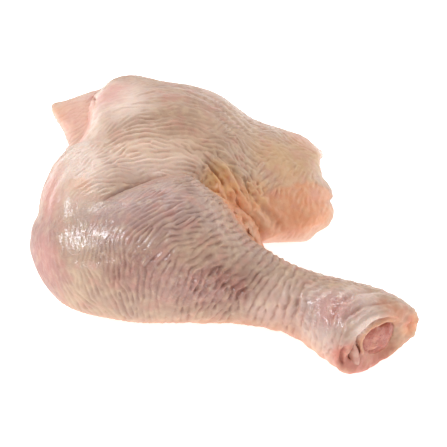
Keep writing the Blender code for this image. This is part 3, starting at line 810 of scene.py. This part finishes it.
oval = bone_oval(places)
cut_side = facing_cut(places, facings_of(leg.data), 0.2, 0.6)
give_values(leg.data, "marrow", cut_side * (1.0 - step_up(oval + 0.1 * sway_x, 0.95, 1.08)))
ring = np.exp(-(((oval - RING_TONE[0]) / RING_TONE[1]) ** 2)) * (0.25 + 0.75 * upper_left_of_cut(places))
give_values(leg.data, "rim", cut_side * ring)
give_values(leg.data, "calf", on_calf_wavering * step_up(wobbly[:, 0], -58.0, -42.0))


def new_node(tree, kind, place, **settings):
    """A node of this kind at this place in the tree."""
    node = tree.nodes.new(kind)
    node.location = place
    for name, value in settings.items():
        setattr(node, name, value)
    return node


def mixed(tree, place, factor, first, second, blend="MIX"):
    """A colour mix. Each of its inputs is a socket to link, or a plain value."""
    node = new_node(tree, "ShaderNodeMix", place, data_type="RGBA", blend_type=blend)
    for socket, value in ((node.inputs[0], factor), (node.inputs[6], first), (node.inputs[7], second)):
        if isinstance(value, bpy.types.NodeSocket):
            tree.links.new(value, socket)
        elif isinstance(value, tuple):
            socket.default_value = (*value, 1.0)
        else:
            socket.default_value = value
    return node.outputs[2]


def set_values(node, values):
    """Sets a node's sockets, named, to plain values."""
    for name, value in values.items():
        node.inputs[name].default_value = value


def counted(tree, place, operation, *values):
    """A sum worked out for each point. Each value is a socket to link, or a plain number."""
    node = new_node(tree, "ShaderNodeMath", place, operation=operation)
    for socket, value in zip(node.inputs, values):
        if isinstance(value, bpy.types.NodeSocket):
            tree.links.new(value, socket)
        else:
            socket.default_value = value
    return node.outputs[0]


def paint(red, green, blue):
    """A colour as the eye names it, 0 to 255, turned into the shader's own scale."""
    shares = [c / 255 for c in (red, green, blue)]
    return tuple(((c + 0.055) / 1.055) ** 2.4 if c > 0.04 else c / 12.92 for c in shares)


def wet_surface_group():
    """Fine pores, drops and uneven wetness, for every raw surface: gives a height, a wetness, small
    flecks and a broad blush."""
    group = bpy.data.node_groups.new("wet_surface", "ShaderNodeTree")
    for name, value in (("Pore Size", 1400.0), ("Pore Depth", 0.5), ("Cloud Size", 120.0)):
        group.interface.new_socket(name, in_out="INPUT", socket_type="NodeSocketFloat").default_value = value
    for name in ("Height", "Wetness", "Fleck", "Blush"):
        group.interface.new_socket(name, in_out="OUTPUT", socket_type="NodeSocketFloat")
    enter = new_node(group, "NodeGroupInput", (-800, 0))
    leave = new_node(group, "NodeGroupOutput", (400, 0))
    where = new_node(group, "ShaderNodeTexCoord", (-1000, -200)).outputs["Object"]
    aside = new_node(group, "ShaderNodeMapping", (-650, -1100))
    aside.inputs["Location"].default_value = (3.1, 1.7, 5.3)
    group.links.new(where, aside.inputs["Vector"])

    def noise_in(place, detail, size, share, vector):
        """Cloudy noise whose size is a share of one of the group's own sizes."""
        node = new_node(group, "ShaderNodeTexNoise", place)
        node.inputs["Detail"].default_value = detail
        scale = counted(group, (place[0] - 150, place[1]), "MULTIPLY", enter.outputs[size], share)
        group.links.new(scale, node.inputs["Scale"])
        group.links.new(vector, node.inputs["Vector"])
        return node.outputs["Fac"]

    pores = new_node(group, "ShaderNodeTexVoronoi", (-500, 100), feature="SMOOTH_F1")
    pores.inputs["Smoothness"].default_value = 0.6
    group.links.new(enter.outputs["Pore Size"], pores.inputs["Scale"])
    group.links.new(where, pores.inputs["Vector"])
    fine = noise_in((-500, -200), 4.0, "Pore Size", 0.6, where)
    rough = counted(group, (-200, 100), "ADD", pores.outputs["Distance"], fine)
    high = counted(group, (0, 100), "MULTIPLY", rough, enter.outputs["Pore Depth"])
    group.links.new(high, leave.inputs["Height"])
    group.links.new(noise_in((-500, -500), 3.0, "Cloud Size", 1.0, where), leave.inputs["Wetness"])
    group.links.new(noise_in((-500, -800), 2.0, "Cloud Size", 4.0, where), leave.inputs["Fleck"])
    blush = noise_in((-500, -1100), 3.0, "Cloud Size", 2.2, aside.outputs["Vector"])
    group.links.new(blush, leave.inputs["Blush"])
    return group


WET_SURFACE = wet_surface_group()


def attribute_value(tree, name, place):
    """The value that a piece's mesh keeps under this name."""
    return new_node(tree, "ShaderNodeAttribute", place, attribute_name=name).outputs["Fac"]


def ramp_value(tree, place, value, low, high):
    """Nothing where the value is low, one where it is high, and a smooth rise between."""
    node = new_node(tree, "ShaderNodeMapRange", place, interpolation_type="SMOOTHSTEP")
    tree.links.new(value, node.inputs["Value"])
    node.inputs["From Min"].default_value = low
    node.inputs["From Max"].default_value = high
    return node.outputs["Result"]


def raw_material(name, pore_size, pore_depth, cloud_size):
    """A new material with the wet surface in it: gives the material, its nodes, shader and surface."""
    material = bpy.data.materials.new(name)
    material.use_nodes = True
    tree = material.node_tree
    wet = new_node(tree, "ShaderNodeGroup", (-1600, -400), node_tree=WET_SURFACE)
    set_values(wet, {"Pore Size": pore_size, "Pore Depth": pore_depth, "Cloud Size": cloud_size})
    return material, tree, tree.nodes["Principled BSDF"], wet.outputs


def set_bump(tree, shader, height, strength, distance):
    """Lets a height show in the shading."""
    bump = new_node(tree, "ShaderNodeBump", (-300, -400))
    set_values(bump, {"Strength": strength, "Distance": distance})
    tree.links.new(height, bump.inputs["Height"])
    tree.links.new(bump.outputs["Normal"], shader.inputs["Normal"])


# The skin's tones, laid on in this order: how much of the tone under it each covers, and its colour.
SKIN_COATS = (
    ("tan", 0.80, paint(174, 138, 114)),
    ("pale", 0.85, paint(240, 214, 200)),
    ("lilac", 0.80, paint(178, 148, 142)),
    ("gold", 0.85, paint(220, 170, 104)),
    ("amber", 0.90, paint(229, 156, 111)),
    ("mauve", 0.85, paint(156, 103, 90)),
    ("rose", 0.75, paint(216, 148, 139)),
    ("flesh", 0.85, paint(200, 116, 94)),
)
THIGH_SKIN = paint(188, 155, 133)
CALF_SKIN = paint(178, 145, 126)
CLOUDED_SKIN = paint(210, 180, 150)
FLECKS = paint(232, 206, 170)
BLUSH = paint(206, 144, 130)
RING_SKIN = paint(210, 154, 118)
BARE_MARROW = paint(192, 112, 94)

# Painted shade in the skin's creases: what its colour is multiplied by there, as a rule, and under three of
# the tones.
CREASE_SHADE = paint(184, 130, 114)
CREASE_SHADES = (
    ("gold", paint(212, 140, 74)),
    ("amber", paint(218, 142, 100)),
    ("flesh", paint(170, 92, 74)),
)


def skin_colour(tree, wet, value):
    """The skin's colour: the calf's or the thigh's, with the tones, flecks and blush on it, and painted
    shade in its creases.
    """
    base = mixed(tree, (-1500, 600), value["calf"], THIGH_SKIN, CALF_SKIN)
    cloud = ramp_value(tree, (-1500, 900), wet["Wetness"], 0.38, 0.66)
    cloud = counted(tree, (-1500, 750), "MULTIPLY", cloud, 0.35)
    base = mixed(tree, (-1350, 600), cloud, base, CLOUDED_SKIN)
    for index, (tone, most, colour) in enumerate(SKIN_COATS):
        x = -1200 + 150 * index
        base = mixed(tree, (x, 600), counted(tree, (x, 300), "MULTIPLY", value[tone], most), base, colour)
    fleck = ramp_value(tree, (-1200, -600), wet["Fleck"], 0.42, 0.72)
    base = mixed(tree, (-400, 600), counted(tree, (-400, 300), "MULTIPLY", fleck, 0.22), base, FLECKS)
    less_on_pale = counted(tree, (-600, 150), "MULTIPLY_ADD", value["pale"], -0.7, 1.0)
    blush = ramp_value(tree, (-1200, -800), wet["Blush"], 0.46, 0.72)
    blush = counted(tree, (-500, 150), "MULTIPLY", blush, less_on_pale)
    base = mixed(tree, (-320, 600), counted(tree, (-400, 150), "MULTIPLY", blush, 0.38), base, BLUSH)
    base = mixed(tree, (-250, 600), value["rim"], base, RING_SKIN)
    base = mixed(tree, (-100, 600), value["marrow"], base, BARE_MARROW)
    shade = CREASE_SHADE
    for index, (tone, colour) in enumerate(CREASE_SHADES):
        shade = mixed(tree, (-350 + 80 * index, 0), value[tone], shade, colour)
    # Painted shade: the colour is multiplied by the crease shade where the creases are.
    dark = mixed(tree, (-100, 300), 1.0, base, shade, "MULTIPLY")
    return mixed(tree, (50, 600), counted(tree, (-100, 450), "MULTIPLY", value["crease"], 0.7), base, dark)


def raw_skin():
    """Raw skin with the fat and muscle under it showing through, wet where it gleams."""
    material, tree, shader, wet = raw_material("raw_skin", 1500.0, 0.5, 90.0)
    names = ["calf", "crease", *TONES, "marrow", "rim"]
    value = {name: attribute_value(tree, name, (-1900, 800 - 160 * row)) for row, name in enumerate(names)}
    tree.links.new(skin_colour(tree, wet, value), shader.inputs["Base Color"])
    pebbly = counted(tree, (-700, -400), "MULTIPLY_ADD", value["gloss"], 0.9, 0.3)
    set_bump(tree, shader, counted(tree, (-500, -400), "MULTIPLY", wet["Height"], pebbly), 1.0, 0.0004)
    rough = new_node(tree, "ShaderNodeMapRange", (-300, -100))
    tree.links.new(wet["Wetness"], rough.inputs["Value"])
    set_values(rough, {"From Min": 0.3, "From Max": 0.7, "To Min": 0.34, "To Max": 0.52})
    shine = counted(tree, (-150, -200), "MULTIPLY_ADD", value["gloss"], -0.62, 1.0)
    rough = counted(tree, (-50, -100), "MULTIPLY", rough.outputs["Result"], shine)
    tree.links.new(rough, shader.inputs["Roughness"])
    drops = ramp_value(tree, (-700, -700), wet["Height"], 0.42, 0.60)
    beaded = counted(tree, (-500, -700), "MULTIPLY_ADD", drops, 0.85, 0.15)
    beaded = counted(tree, (-400, -700), "MULTIPLY", beaded, value["gloss"])
    film = counted(tree, (-300, -700), "MULTIPLY_ADD", beaded, 0.88, 0.12)
    tree.links.new(film, shader.inputs["Coat Weight"])
    set_values(shader, {
        "Subsurface Weight": 0.30, "Subsurface Radius": (1.0, 0.45, 0.28), "Subsurface Scale": 0.0010,
        "Coat Roughness": 0.13, "Coat IOR": 1.80, "IOR": 1.45, "Sheen Weight": 0.03, "Sheen Roughness": 0.4,
    })
    return material


def dress(piece, material):
    """Gives a piece its material and smooth shading."""
    piece.data.materials.clear()
    piece.data.materials.append(material)
    piece.data.polygons.foreach_set("use_smooth", [True] * len(piece.data.polygons))


dress(leg, raw_skin())
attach(leg, "root")
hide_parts("leg_quarter")


# The end of the shin bone

# Spongy red bone, sawn or snapped through, seen in the hollow of the cut hock. It runs on inside the
# drumstick, and the flesh round it holds it.

def raw_bone():
    """Spongy bone, red with marrow, with paler walls, a few dark spots, and a dark edge and splits."""
    material, tree, shader, wet = raw_material("raw_bone", 1100.0, 0.9, 260.0)
    pale = ramp_value(tree, (-900, 200), wet["Wetness"], 0.44, 0.66)
    dark = ramp_value(tree, (-900, 0), wet["Fleck"], 0.55, 0.72)
    base = mixed(tree, (-600, 200), pale, paint(182, 104, 86), paint(204, 136, 112))
    base = mixed(tree, (-400, 200), dark, base, paint(160, 72, 56))
    edge = counted(tree, (-600, 400), "MULTIPLY", attribute_value(tree, "edge", (-900, 400)), 0.8)
    base = mixed(tree, (-250, 200), edge, base, paint(156, 68, 48))
    tree.links.new(base, shader.inputs["Base Color"])
    set_bump(tree, shader, wet["Height"], 0.6, 0.0004)
    set_values(shader, {
        "Roughness": 0.35, "Subsurface Weight": 0.3, "Subsurface Radius": (1.0, 0.35, 0.2),
        "Subsurface Scale": 0.0012, "Coat Weight": 0.4, "Coat Roughness": 0.15,
    })
    return material


BONE_GRID = 0.00042
BONE_PASSES = 8

# How far the bone's face reaches, as a share of its oval in the cut, how far it is sunk, and how far
# its rim is rounded back.
BONE_SHARE = 1.06
BONE_SUNK = 0.25
BONE_ROUNDING = 0.25

# The splits in the bone's face, at its top and low on its left: the middle, right and up in the cut, the
# half length and breadth, and the slope. Then how deep they go.
TOP_SPLIT = ((1.4, 6.6), (2.6, 0.55), 0.0)
LOW_SPLIT = ((-3.2, -2.24), (2.4, 0.6), 0.2)
TOP_SPLIT_DEPTH = 1.5
LOW_SPLIT_DEPTH = 1.2

# The shallow groove right across the face: its height at the middle of the cut, slope, breadth and depth.
GROOVE_HEIGHT = 0.7
GROOVE_SLOPE = -0.35
GROOVE_BREADTH = 1.1
GROOVE_DEPTH = 0.4


def along_split(right, up, middle, size, slope):
    """One in the middle of a split in the bone's face, fading out along and across it."""
    along = (right - middle[0]) / size[0]
    across = (up - middle[1] - slope * (right - middle[0])) / size[1]
    return np.exp(-(along ** 2) - across ** 2)


bone = worked_copy(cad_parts["shin_bone"], "bone_end", BONE_GRID, BONE_PASSES)
places = places_of(bone.data)
right, up, proud = seen_in_cut(places)
front = proud.max()
face = proud > front - 1.2
own_middle = (right[face].mean(), up[face].mean())
own_size = (np.ptp(right[face]) / 2, np.ptp(up[face]) / 2)
grown = step_up(proud, front - 5.0, front - 2.0)
wide_right = OVAL_MIDDLE[0] + (right - own_middle[0]) / own_size[0] * OVAL_SIZE[0] * BONE_SHARE
wide_up = OVAL_MIDDLE[1] + (up - own_middle[1]) / own_size[1] * OVAL_SIZE[1] * BONE_SHARE
lumps = 0.5 * cloudy(places, 1.5, 21) + 0.5 * cloudy(places, 3.2, 22)
right += grown * (wide_right - right)
up += grown * (wide_up - up)
out = np.hypot((right - OVAL_MIDDLE[0]) / OVAL_SIZE[0], (up - OVAL_MIDDLE[1]) / OVAL_SIZE[1])
top_split = along_split(right, up, *TOP_SPLIT)
low_split = along_split(right, up, *LOW_SPLIT)
groove = np.exp(-(((up - GROOVE_HEIGHT - GROOVE_SLOPE * right) / GROOVE_BREADTH) ** 2))
proud += grown * (-BONE_SUNK - front - BONE_ROUNDING * np.clip(out, 0, 1.2) ** 2)
proud += grown * (lumps - GROOVE_DEPTH * groove - TOP_SPLIT_DEPTH * top_split - LOW_SPLIT_DEPTH * low_split)
put_places(bone.data, out_of_cut(right, up, proud))
splits = np.maximum(top_split, 0.8 * low_split)
give_values(bone.data, "edge", grown * np.maximum(0.5 * step_up(out, 0.85, 1.05), splits))
dress(bone, raw_bone())
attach(bone, "root")
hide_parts("shin_bone")


# The cut tendon

# A pale cord of sinew in the near side of the cut, whitish and glossy. It was cut off with the bone, and
# it lies in a channel of its own in the flesh.

def raw_tendon():
    """Pale, wet sinew, clouded with pink."""
    material, tree, shader, wet = raw_material("raw_tendon", 900.0, 0.4, 300.0)
    pink = ramp_value(tree, (-900, 200), wet["Wetness"], 0.4, 0.62)
    base = mixed(tree, (-600, 200), pink, paint(200, 154, 134), paint(188, 130, 114))
    tree.links.new(base, shader.inputs["Base Color"])
    set_bump(tree, shader, wet["Height"], 0.4, 0.0003)
    set_values(shader, {
        "Roughness": 0.32, "Subsurface Weight": 0.3, "Subsurface Radius": (1.0, 0.5, 0.35),
        "Subsurface Scale": 0.0012, "Coat Weight": 0.5, "Coat Roughness": 0.12,
    })
    return material


# How far the tendon swells in its channel, and its end in the cut, a flat strap: its middle, its half
# width and height, how it narrows from its foot to its top, how far it leans to the left, how far it is
# sunk, and how far its rim is rounded back.
TENDON_PASSES = 5
TENDON_SWELLING = 0.3
STRAP_MIDDLE = (-10.5, -1.0)
STRAP_SIZE = (1.1, 5.6)
STRAP_WIDTHS = (1.60, 0.70)
STRAP_LEAN = 0.6
STRAP_SUNK = 0.15
STRAP_ROUNDING = 0.25

tendon = worked_copy(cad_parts["hock_tendon"], "sinew", BONE_GRID, TENDON_PASSES)
places = places_of(tendon.data)
places += facings_of(tendon.data) * (TENDON_SWELLING + 0.25 * cloudy(places, 2.0, 31))[:, None]
right, up, proud = seen_in_cut(places)
front = proud.max()
face = proud > front - 1.0
grown = step_up(proud, front - 6.0, front - 1.5)
across = (right - right[face].mean()) / (np.ptp(right[face]) / 2)
along = (up - up[face].mean()) / (np.ptp(up[face]) / 2)
narrowing = (STRAP_WIDTHS[0] + STRAP_WIDTHS[1]) / 2 + (STRAP_WIDTHS[1] - STRAP_WIDTHS[0]) / 2 * along
strap_right = STRAP_MIDDLE[0] + across * STRAP_SIZE[0] * narrowing - STRAP_LEAN * along
right += grown * (strap_right - right)
up += grown * (STRAP_MIDDLE[1] + along * STRAP_SIZE[1] - up)
proud += grown * (-STRAP_SUNK - front - STRAP_ROUNDING * np.clip(across ** 2 + along ** 2, 0, 1.5))
put_places(tendon.data, out_of_cut(right, up, proud))
dress(tendon, raw_tendon())
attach(tendon, "root")
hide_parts("hock_tendon")
